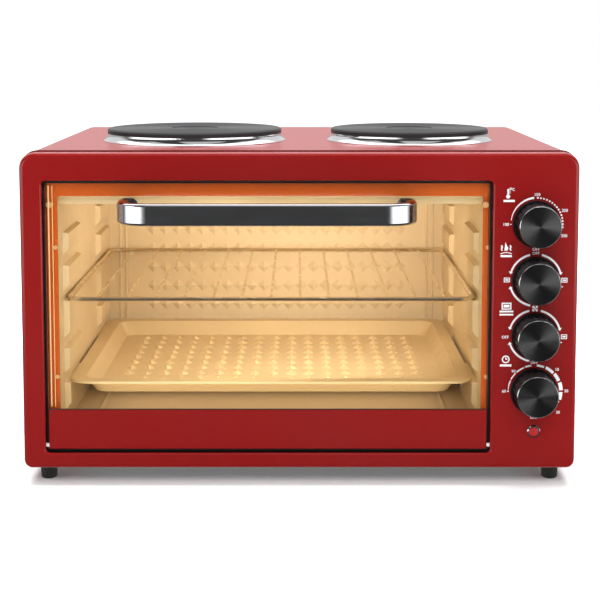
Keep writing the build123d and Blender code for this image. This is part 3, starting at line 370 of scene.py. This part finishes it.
def make_disc(node):
    """Spun aluminium, dyed dark, on a knob's cap, with a bare bright rim."""
    low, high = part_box(node)
    rim_width = 0.5 * mm
    recipe = Recipe(f"{node}_spun_metal", disc_grey, 0.24, 1.0, Anisotropic=0.95,
                    Anisotropic_Rotation=0.25)
    distance = turned(recipe, (low + high) / 2, "Y", pitch=0.6 * mm, depth=0.01 * mm)
    rim = recipe.math("GREATER_THAN", distance, (high.x - low.x) / 2 - rim_width)
    recipe.plug("Base Color", recipe.blend(rim, disc_grey, disc_rim))
    return recipe.material


def make_knob_plastic():
    recipe = Recipe("black_knob_plastic", (0.007, 0.007, 0.008), 0.32, Specular_IOR_Level=0.12)
    recipe.vary_roughness(recipe.noise(scale=220.0, detail=3.0), smooth=0.26, dull=0.40)
    recipe.bump(recipe.noise(scale=1400.0, detail=2.0), depth=0.02 * mm, strength=0.4)
    return recipe.material


def make_grained(name, color, roughness, scale, detail, depth, strength, **settings):
    """One even colour over a fine grain."""
    recipe = Recipe(name, color, roughness, **settings)
    recipe.bump(recipe.noise(scale, detail), depth, strength)
    return recipe.material


def make_element():
    """Steel darkened unevenly by heat."""
    recipe = Recipe("darkened_steel", steel, 0.45, 0.8)
    heat = recipe.noise(scale=60.0, detail=4.0)
    recipe.plug("Base Color", recipe.blend(heat, steel_dark, steel_pale))
    return recipe.material


def make_glass():
    """Clear toughened glass that lets light and shadow rays straight through."""
    recipe = Recipe("clear_glass", glass_clear, 0.0, Transmission_Weight=1.0, IOR=1.45)
    path = recipe.light_path()
    through = recipe.larger(path["Is Shadow Ray"], path["Is Diffuse Ray"])
    clear = recipe.node("ShaderNodeBsdfTransparent", {"Color": (*glass_clear, 1.0)})
    recipe.show(recipe.node("ShaderNodeMixShader", {0: through, 1: recipe.shader.outputs[0],
                                                    2: clear.outputs[0]}))
    return recipe.material


# Materials by the frame's material slots, and by node where a node has its own
tray_enamel = make_enamel("cream_tray_enamel", tray_cream, 0.38)
# Dark red enamel for the seam bead, painted shade for the seam's shadow line
seam_shadow_enamel = make_enamel("dark_red_painted_seam_shadow", seam_shadow_red, 0.5)
black_rubber = make_grained("black_rubber", (0.014, 0.014, 0.014), 0.62,
                            scale=700.0, detail=3.0, depth=0.06 * mm, strength=0.6)
print_material = make_grained("white_print", print_white, 0.45,
                              scale=1500.0, detail=1.0, depth=0.01 * mm, strength=0.3)
knob_plastic = make_knob_plastic()
by_slot = {
    "body_red": paint_recipe("red_enamel_paint").material,
    "zinc_sheet": make_zinc(),
    "bright_screws": make_bright_zinc(),
    "chamber_enamel": make_enamel("tan_oven_enamel", enamel_tan, 0.34),
    "element_steel": make_element(),
    "ceramic": make_grained("ceramic", (0.82, 0.79, 0.72), 0.55,
                            scale=600.0, detail=3.0, depth=0.06 * mm, strength=0.5),
    "bright_ring": make_chrome("bright_ring_chrome", (0.72, 0.72, 0.73), 0.10),
    "door_glass": make_glass(),
    "black_rubber": black_rubber,
    "pale_rubber": make_grained("tan_silicone", (0.55, 0.30, 0.11), 0.5,
                                scale=500.0, detail=2.0, depth=0.04 * mm, strength=0.4),
    "handle_chrome": make_handle(),
    "black_plastic": knob_plastic,
    "knob_black": knob_plastic,
    "lamp_red": make_grained("red_lens", (0.40, 0.020, 0.023), 0.12,
                             scale=300.0, detail=1.0, depth=0.05 * mm, strength=0.3,
                             Coat_Weight=0.6, Coat_Roughness=0.04, Subsurface_Weight=0.2,
                             Subsurface_Radius=(0.003, 0.0005, 0.0005)),
    "rack_chrome": make_chrome("wire_chrome", (0.80, 0.72, 0.58), 0.24),
    "tray_enamel": tray_enamel,
}
by_node = {
    "front_frame": make_frame_paint(),
    "outer_casing": make_casing_paint(),
    "flange_screws": Recipe("brass_plated_screws", (0.80, 0.50, 0.21), 0.3, 0.25).material,
    # Pale zinc pins, partly painted highlight: near white for the bright dots they show in the gap
    "hinge_pins": Recipe("pale_zinc_painted_highlight", (0.92, 0.92, 0.92), 0.35, 0.15).material,
}
slot_of = {part["node"]: part["material_slot"] for part in frame["record"]["subparts"]}
for name, item in nodes.items():
    if name in by_node:
        chosen = by_node[name]
    elif slot_of[name] == "cast_plate":
        chosen = make_hotplate(name)
    elif name.endswith("_disc"):
        chosen = make_disc(name)
    else:
        chosen = by_slot[slot_of[name]]
    item.data.materials.clear()
    item.data.materials.append(chosen)


# Helpers for added pieces
def add_piece(name, mesh, material, body):
    """A mesh as a new piece that rides on a body."""
    mesh.materials.append(material)
    item = bpy.data.objects.new(name, mesh)
    scene.collection.objects.link(item)
    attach(item, body)


def flat_piece(name, polygons, material, y, body="oven"):
    """Flat polygons of (x, z) points, at one depth, that face the viewer."""
    mesh = bpy.data.meshes.new(name)
    points, faces = [], []
    for polygon in polygons:
        faces.append(tuple(range(len(points), len(points) + len(polygon))))
        points += [(x, y, z) for x, z in polygon]
    mesh.from_pydata(points, [], faces)
    shape = bmesh.new()
    shape.from_mesh(mesh)
    for face in shape.faces:
        if face.normal.y > 0:
            face.normal_flip()
    shape.to_mesh(mesh)
    shape.free()
    add_piece(name, mesh, material, body)


def solid_piece(name, shape, material, body):
    """A closed bmesh as a new piece, with its faces turned outwards."""
    mesh = bpy.data.meshes.new(name)
    bmesh.ops.recalc_face_normals(shape, faces=shape.faces)
    shape.to_mesh(mesh)
    shape.free()
    add_piece(name, mesh, material, body)


def add_block(shape, low, high):
    """A box between two corners."""
    made = bmesh.ops.create_cube(shape, size=1.0)
    middle = (Vector(low) + Vector(high)) / 2
    size = Vector(high) - Vector(low)
    for vertex in made["verts"]:
        vertex.co = middle + vertex.co * size


# Helpers for prints. Each gives polygons of (x, z) points.
def at_angle(centre, radius, degrees):
    return (centre[0] + radius * cos(radians(degrees)),
            centre[1] + radius * sin(radians(degrees)))


def arc_of(centre, inner, start_width, end_width, start, end, steps=24):
    """A curved band from one angle to another, whose width changes evenly along it."""
    band = []
    for step in range(steps):
        shares = (step / steps, (step + 1) / steps)
        near, far = (start + (end - start) * share for share in shares)
        near_outer, far_outer = (inner + start_width + (end_width - start_width) * share
                                 for share in shares)
        band.append([at_angle(centre, inner, near), at_angle(centre, near_outer, near),
                     at_angle(centre, far_outer, far), at_angle(centre, inner, far)])
    return band


def ring_at(centre, inner, outer, sides=24):
    return arc_of(centre, inner, outer - inner, outer - inner, 0, 360, sides)


def dot_at(centre, radius, sides=12):
    return [[at_angle(centre, radius, 360 * side / sides) for side in range(sides)]]


def bar_at(centre, width, height):
    x, z = centre
    return [[(x - width / 2, z - height / 2), (x + width / 2, z - height / 2),
             (x + width / 2, z + height / 2), (x - width / 2, z + height / 2)]]


def box_at(centre, width, height, line):
    """The outline of a box, in four bars."""
    x, z = centre
    return (bar_at((x, z + (height - line) / 2), width, line)
            + bar_at((x, z - (height - line) / 2), width, line)
            + bar_at((x - (width - line) / 2, z), line, height - 2 * line)
            + bar_at((x + (width - line) / 2, z), line, height - 2 * line))


def stroke(points, width):
    """A line of even width through some points, as short bars."""
    bars = []
    for (x0, z0), (x1, z1) in zip(points, points[1:]):
        length = ((x1 - x0) ** 2 + (z1 - z0) ** 2) ** 0.5
        nx, nz = -(z1 - z0) / length * width / 2, (x1 - x0) / length * width / 2
        bars.append([(x0 + nx, z0 + nz), (x0 - nx, z0 - nz),
                     (x1 - nx, z1 - nz), (x1 + nx, z1 + nz)])
    return bars


def text_at(words, centre, size=3.9):
    """Plain letters or figures as flat polygons, centred on a point, all in millimetres."""
    curve = bpy.data.curves.new("label", "FONT")
    curve.body = words
    curve.size = size * mm
    curve.resolution_u = 3
    curve.offset = curve.size * 0.01
    item = bpy.data.objects.new("label", curve)
    scene.collection.objects.link(item)
    bpy.context.view_layer.update()
    evaluated = item.evaluated_get(bpy.context.evaluated_depsgraph_get())
    mesh = bpy.data.meshes.new_from_object(evaluated)
    points = [(vertex.co.x / mm, vertex.co.y / mm) for vertex in mesh.vertices]
    xs, zs = zip(*points)
    shift_x = centre[0] - (min(xs) + max(xs)) / 2
    shift_z = centre[1] - (min(zs) + max(zs)) / 2
    polygons = [[(points[index][0] + shift_x, points[index][1] + shift_z)
                 for index in face.vertices] for face in mesh.polygons]
    bpy.data.objects.remove(item)
    bpy.data.curves.remove(curve)
    bpy.data.meshes.remove(mesh)
    return polygons


def beside(knob, polygons, right=0.0, up=0.0):
    """Polygons in millimetres, placed right of and above a knob's middle on the face."""
    low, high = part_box(f"{knob}_knob")
    middle = (low + high) / 2
    return [[(middle.x + (x + right) * mm, middle.z + (z + up) * mm) for x, z in polygon]
            for polygon in polygons]


# Prints beside the knobs: scales and figures, in millimetres and degrees about a knob's middle
print_y = body_low.y - 0.08 * mm
middle = (0.0, 0.0)

thermostat_scale = arc_of(middle, 24.0, 0.5, 2.1, 172, 96)
for step in range(15):
    thermostat_scale += dot_at(at_angle(middle, 24.9, 88 - 6.8 * step), 0.85)
thermostat_scale += bar_at((-24.2, -0.4), 1.6, 0.7)
for words, place in (("100", (-28.6, -0.4)), ("150", (0.6, 28.0)), ("200", (26.6, 13.0)),
                     ("250", (26.4, -11.2)), ("OFF", (0.0, -24.0))):
    thermostat_scale += text_at(words, place)
flat_piece("thermostat_scale", beside("thermostat", thermostat_scale), print_material, print_y)

arrow_length = 5.12
for name in ("hotplate_selector", "function_selector"):
    scale = []
    for start, end in ((103, 161), (77, 17), (259, 199)):
        scale += arc_of(middle, 23.8, 2.0, 1.6, start, end)
        tip = end + (arrow_length if end > start else -arrow_length)
        scale.append([at_angle(middle, 22.9, end), at_angle(middle, 27.0, end),
                      at_angle(middle, 24.6, tip)])
    scale += bar_at(at_angle(middle, 26.2, -14), 1.4, 0.8)
    flat_piece(f"{name}_scale", beside(name, scale), print_material, print_y)

# The timer's marks: inner radius, width, start and end
timer_marks = (
    (24.2, 0.6, 176, 169), (24.2, 0.9, 168, 155), (24.2, 1.1, 152, 135), (24.2, 1.3, 132, 113),
    (24.2, 1.7, 110, 96), (24.2, 2.0, 84, 68), (24.2, 2.7, 64, 44), (24.2, 3.1, 41, 23),
    (24.3, 3.5, 19, 2), (24.3, 3.3, -2, -18),
)
timer_scale = []
for inner, width, start, end in timer_marks:
    timer_scale += arc_of(middle, inner, width, width, start, end, 8)
timer_scale += arc_of(middle, 24.3, 2.4, 0.6, -22, -40, 8)
timer_scale += dot_at(at_angle(middle, 24.6, 180), 0.8)
for words, place in (("60", (-28.4, 0.0)), ("90", (-19.6, 19.4)), ("10", (22.2, 21.2)),
                     ("20", (31.2, 0.3)), ("30", (23.6, -20.6)), ("OFF", (0.0, 27.9)),
                     ("ON", (0.0, -25.6))):
    timer_scale += text_at(words, place)
flat_piece("timer_scale", beside("timer", timer_scale), print_material, print_y)

# Plain symbols at the left of the knobs, each over one or two plain bars
thermometer = dot_at(middle, 1.9) + bar_at((0.0, 4.0), 1.5, 6.2)
for rise in (3.4, 5.2):
    thermometer += bar_at((1.5, rise), 1.6, 0.6)
thermometer += ring_at((2.3, 7.4), 0.6, 1.1, 12)
thermometer += text_at("C", (5.0, 6.8), 3.6)
thermometer += bar_at((1.0, -4.2), 10.6, 2.0)

flame = [[(-1.9, -2.6), (1.1, -2.6), (1.9, 0.2), (0.5, 2.0), (-0.9, 5.4), (-1.3, 1.2)]]
for shift in (-4.2, 4.0):
    flame += stroke([(shift - 0.5, 2.4), (shift + 0.5, 0.8), (shift - 0.5, -0.8),
                     (shift + 0.4, -2.6)], 1.3)
flame += arc_of((0.0, -16.0), 11.2, 0.7, 0.7, 118, 62, 10)
flame += bar_at((0.0, -7.9), 10.6, 2.0)

oven = box_at(middle, 9.2, 6.6, 1.0) + bar_at(middle, 5.6, 2.6)
for fall in (5.2, 8.2):
    oven += bar_at((0.0, -fall), 13.0, 1.6)

clock = ring_at(middle, 2.7, 3.7) + stroke([(0.0, 2.0), middle, (1.6, 0.5)], 0.9)
clock += bar_at((0.0, -5.9), 11.0, 2.0)

# Smaller symbols at the selectors' places
small_box = box_at(middle, 5.8, 4.4, 0.7) + bar_at(middle, 3.0, 1.3)
off = text_at("OFF", middle)
fan = []
for degrees in (45, 135, 225, 315):
    fan += dot_at(at_angle(middle, 2.2, degrees), 1.25)
fan += dot_at(middle, 0.8)

symbols = []
for name, symbol, right, up in (
        ("thermostat", thermometer, -27.2, 26.2), ("hotplate_selector", flame, -28.2, 31.0),
        ("function_selector", oven, -27.2, 28.8), ("timer", clock, -27.2, 31.0),
        ("hotplate_selector", small_box, -27.2, 0.2), ("hotplate_selector", small_box, 27.4, 0.0),
        ("function_selector", small_box, 28.0, -0.8), ("hotplate_selector", off, 0.0, 25.8),
        ("function_selector", off, -28.0, -1.2), ("function_selector", fan, 0.0, 26.4)):
    symbols += beside(name, symbol, right, up)
flat_piece("fascia_symbols", symbols, print_material, print_y)

# Black strip around the ledge, in the door's gap: painted shade, a dark sheet where there is only
# the gap's shadow
strip_width, strip_depth = 2.8 * mm, 3.4 * mm
edge_gap, back_gap = 0.1 * mm, 0.05 * mm
near, far = ledge_y - strip_depth, ledge_y - back_gap
left, right = opening_left + edge_gap, opening_right - edge_gap
low, high = opening_bottom + edge_gap, opening_top - edge_gap
inner_left, inner_right = left + strip_width, right - strip_width
gap_shade_strip = bmesh.new()
add_block(gap_shade_strip, (left, near, low), (inner_left, far, high))
add_block(gap_shade_strip, (inner_right, near, low), (right, far, high))
add_block(gap_shade_strip, (inner_left, near, low), (inner_right, far, low + strip_width))
add_block(gap_shade_strip, (inner_left, near, high - strip_width), (inner_right, far, high))
# It takes the black rubber material, as painted shade for the gap
solid_piece("door_gap_shade_strip", gap_shade_strip, black_rubber, "oven")

# Two thin bright lines at the left of the door's glass, painted highlights for the light seen in
# its polished edge
glass_low, glass_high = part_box("door_glass")
line_bottom, line_top = glass_low.z + 15.0 * mm, glass_high.z - 3.0 * mm
edge_lines = []
for inset, width in ((2.6 * mm, 1.2 * mm), (6.2 * mm, 0.7 * mm)):
    edge_lines += bar_at((glass_low.x + inset, (line_bottom + line_top) / 2), width,
                         line_top - line_bottom)
painted_edge_highlight = Recipe("painted_edge_highlight", painted_edge_highlight_tan, 0.3).material
flat_piece("painted_edge_highlight_lines", edge_lines, painted_edge_highlight, glass_high.y + 0.1 * mm, "door")

# A dark red bead in the seam between the front frame and the casing, painted shade standing in for
# the seam's shadow line
bead_out, bead_in, bead_width = 1.0 * mm, 1.6 * mm, 1.1 * mm
bead_start = body_low.z + 30.0 * mm
body_corner = 15.0 * mm
corner_steps = 12
seam_y = body_low.y + 18.3 * mm


def bead_outline(grow):
    """Up one side, over the roof and down the other, with the body's corners."""
    half = (body_high.x - body_low.x) / 2 + grow
    top = body_high.z + grow
    radius = body_corner + grow
    points = [(-half, bead_start)]
    for step in range(corner_steps + 1):
        turn = radians(90 * step / corner_steps)
        points.append((-half + radius - radius * cos(turn), top - radius + radius * sin(turn)))
    return points + [(-x, z) for x, z in reversed(points)]


outer_points, inner_points = bead_outline(bead_out), bead_outline(-bead_in)
bead_front, bead_back = seam_y - bead_width / 2, seam_y + bead_width / 2
bead = bmesh.new()
rows = [[bead.verts.new((x, y, z)) for x, z in points]
        for points, y in ((outer_points, bead_front), (outer_points, bead_back),
                          (inner_points, bead_back), (inner_points, bead_front))]
for index in range(len(outer_points) - 1):
    for first, second in ((0, 1), (1, 2), (2, 3), (3, 0)):
        bead.faces.new((rows[first][index], rows[first][index + 1],
                        rows[second][index + 1], rows[second][index]))
for end in (0, -1):
    bead.faces.new([row[end] for row in rows])
solid_piece("seam_shadow_bead", bead, seam_shadow_enamel, "oven")

# Pyramids pressed up in the tray's floor
tray_sheet = 0.8 * mm
columns, column_pitch = 17, 19.0 * mm
lines, line_pitch = 10, 24.0 * mm
pyramid_reach, pyramid_height, pyramid_root = 6.4 * mm, 3.4 * mm, 0.2 * mm
tray_low, tray_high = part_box("baking_tray")
tray_middle = (tray_low + tray_high) / 2
tray_floor_level = tray_low.z + tray_sheet
pyramids = bmesh.new()
for column in range(columns):
    for line in range(lines):
        x = tray_middle.x + (column - (columns - 1) / 2) * column_pitch
        y = tray_middle.y + (line - (lines - 1) / 2) * line_pitch
        tip = pyramids.verts.new((x, y, tray_floor_level + pyramid_height))
        ring = [pyramids.verts.new((x + dx * pyramid_reach, y + dy * pyramid_reach,
                                    tray_floor_level - pyramid_root))
                for dx, dy in ((1, 0), (0, 1), (-1, 0), (0, -1))]
        for index in range(4):
            pyramids.faces.new((ring[index], ring[(index + 1) % 4], tip))
        pyramids.faces.new(ring[::-1])
solid_piece("tray_pyramids", pyramids, tray_enamel, "tray")


# Floor, world and lamps
def make_floor():
    """A white floor that keeps the object's shadow, lifted for the camera, and more so away
    from the object."""
    shadow_half_width, shadow_half_depth, shadow_fade = 0.265, 0.19, 0.30
    recipe = Recipe("floor_white", (0.94, 0.94, 0.94), 0.8, Specular_IOR_Level=0.0)
    x, y, _ = recipe.parts_of(recipe.place())
    past_side = recipe.math("SUBTRACT", recipe.math("ABSOLUTE", x), shadow_half_width)
    past_front = recipe.math("SUBTRACT", recipe.math("ABSOLUTE", y), shadow_half_depth)
    away = recipe.larger(recipe.larger(past_side, past_front), 0.0)
    lift = recipe.span(away, 0.0, shadow_fade, 0.05, 0.65)
    glow = recipe.node("ShaderNodeEmission", {"Color": (*white, 1.0), "Strength": lift})
    dark = recipe.node("ShaderNodeEmission", {"Strength": 0.0})
    for_camera = recipe.node("ShaderNodeMixShader", {0: recipe.light_path()["Is Camera Ray"],
                                                     1: dark.outputs[0], 2: glow.outputs[0]})
    recipe.show(recipe.node("ShaderNodeAddShader", {0: recipe.shader.outputs[0],
                                                    1: for_camera.outputs[0]}))
    reach = 6.0
    mesh = bpy.data.meshes.new("floor")
    mesh.from_pydata([(-reach, -reach, 0), (reach, -reach, 0), (reach, reach, 0),
                      (-reach, reach, 0)], [], [(0, 1, 2, 3)])
    mesh.materials.append(recipe.material)
    floor = bpy.data.objects.new("floor", mesh)
    scene.collection.objects.link(floor)
    floor.visible_glossy = False
    floor.visible_transmission = False


def make_world():
    """White to the camera. Gloss sees soft boxes at both front quarters, a bright back and top,
    and a dim stretch straight ahead of the front face."""
    world = bpy.data.worlds.new("studio")
    scene.world = world
    world.use_nodes = True
    world.node_tree.nodes.clear()
    sky = NodeTree(world.node_tree)

    def ease(value, low, high, to_low, to_high):
        return sky.span(value, low, high, to_low, to_high, "SMOOTHSTEP")

    def gap_at(azimuth, middle_way, half):
        """0 inside a span of azimuth, in degrees, and 1 outside it."""
        off = sky.math("ABSOLUTE", sky.math("SUBTRACT", azimuth, radians(middle_way)))
        return ease(off, radians(half - 4), radians(half + 4), 0.0, 1.0)

    x, y, z = sky.parts_of(sky.node("ShaderNodeTexCoord").outputs["Generated"])
    azimuth = sky.math("ARCTAN2", x, sky.times(y, -1.0))
    turn = sky.math("ABSOLUTE", azimuth)

    # What gloss sees: azimuths count from straight ahead of the front face
    box_strength, ahead_strength = 2.3, 0.06
    near_horizon = ease(sky.math("ABSOLUTE", z), 0.15, 0.25, 1.0, 0.0)
    box_start = ease(turn, radians(10), radians(32), 0.0, 1.0)
    box_end = ease(turn, radians(74), radians(98), 1.0, 0.0)
    box = sky.times(sky.times(box_start, box_end), sky.times(near_horizon, box_strength))
    behind = ease(turn, radians(88), radians(112), 0.0, 1.0)
    back = sky.times(behind, sky.math("ADD", ease(z, 0.058, 0.084, 0.50, 0.86),
                                      ease(z, 0.45, 0.66, 0.0, 2.0)))
    top = sky.times(ease(z, 0.52, 0.72, 0.0, 0.65),
                    sky.times(gap_at(azimuth, 66, 15), gap_at(azimuth, -38, 19)))
    gloss = sky.larger(sky.larger(box, back), sky.larger(top, ahead_strength))

    # Which rays see what: the camera sees white, also straight through glass
    ambient_strength = 0.55
    path = sky.light_path()
    direct = sky.times(sky.math("LESS_THAN", path["Glossy Depth"], 0.5),
                       sky.math("LESS_THAN", path["Diffuse Depth"], 0.5))
    through = path["Is Transmission Ray"]
    seen = sky.larger(path["Is Camera Ray"], sky.times(through, direct))
    glossy = sky.larger(path["Is Glossy Ray"],
                        sky.times(through, sky.math("SUBTRACT", 1.0, direct)))
    level = sky.math("ADD", sky.times(glossy, gloss),
                     sky.times(sky.math("SUBTRACT", 1.0, glossy), ambient_strength))
    strength = sky.math("ADD", seen, sky.times(sky.math("SUBTRACT", 1.0, seen), level))
    background = sky.node("ShaderNodeBackground", {"Color": (*white, 1.0), "Strength": strength})
    output = sky.node("ShaderNodeOutputWorld")
    sky.fill(output.inputs["Surface"], background.outputs[0])


def area_lamp(name, place, aim, size, power, color=white, spread=180):
    """A rectangular lamp that lights matt surfaces, and that gloss, glass and the camera
    don't show."""
    light = bpy.data.lights.new(name, "AREA")
    light.shape = "RECTANGLE"
    light.size, light.size_y = size
    light.energy = power
    light.spread = radians(spread)
    light.color = color
    lamp = bpy.data.objects.new(name, light)
    scene.collection.objects.link(lamp)
    lamp.location = place
    lamp.rotation_euler = (Vector(aim) - Vector(place)).to_track_quat("-Z", "Y").to_euler()
    lamp.visible_camera = False
    lamp.visible_glossy = False
    lamp.visible_transmission = False


make_floor()
make_world()
object_middle = (Vector(cad_box[0]) + Vector(cad_box[1])) / 2
area_lamp("front_lamp", place=(0.1, -1.7, 1.45), aim=object_middle, size=(1.6, 1.0), power=25.0)
area_lamp("top_lamp", place=(0.0, 0.2, 2.2), aim=object_middle, size=(2.0, 2.0), power=100.0)

# Lamps in the chamber: two behind the ledge, and one under the tray that shines down
chamber_middle = (opening_left + opening_right) / 2
chamber_level = (chamber_low.z + chamber_high.z) / 2
lamp_y = ledge_y + 6.0 * mm
deep_y = 0.1
tray_lamp_level = chamber_low.z + 32.0 * mm
low_lamp_y = -0.045
area_lamp("chamber_lamp", place=(chamber_middle + 0.070, lamp_y, chamber_level + 0.042),
          aim=(chamber_middle - 0.020, deep_y, chamber_level + 0.005),
          size=(0.22, 0.08), power=0.78, color=(1.0, 0.96, 0.99), spread=130)
area_lamp("tray_lamp", place=(chamber_middle, lamp_y, tray_lamp_level),
          aim=(chamber_middle, deep_y, tray_lamp_level),
          size=(0.36, 0.012), power=0.06, color=(1.0, 0.90, 0.80), spread=130)
area_lamp("low_chamber_lamp", place=(chamber_middle, low_lamp_y, chamber_low.z + 0.028),
          aim=(chamber_middle, low_lamp_y, 0.0),
          size=(0.36, 0.06), power=0.06, color=(1.0, 0.88, 0.76))

# Camera
camera_data = bpy.data.cameras.new("camera")
camera = bpy.data.objects.new("camera", camera_data)
scene.collection.objects.link(camera)
camera.location = camera_place
camera.rotation_euler = (pi / 2 - camera_tilt, 0, 0)
camera_data.lens = camera_lens
camera_data.sensor_width = camera_sensor
camera_data.shift_x, camera_data.shift_y = camera_shift
camera_data.clip_start = camera_clip
scene.camera = camera
scene.view_settings.view_transform = "Standard"
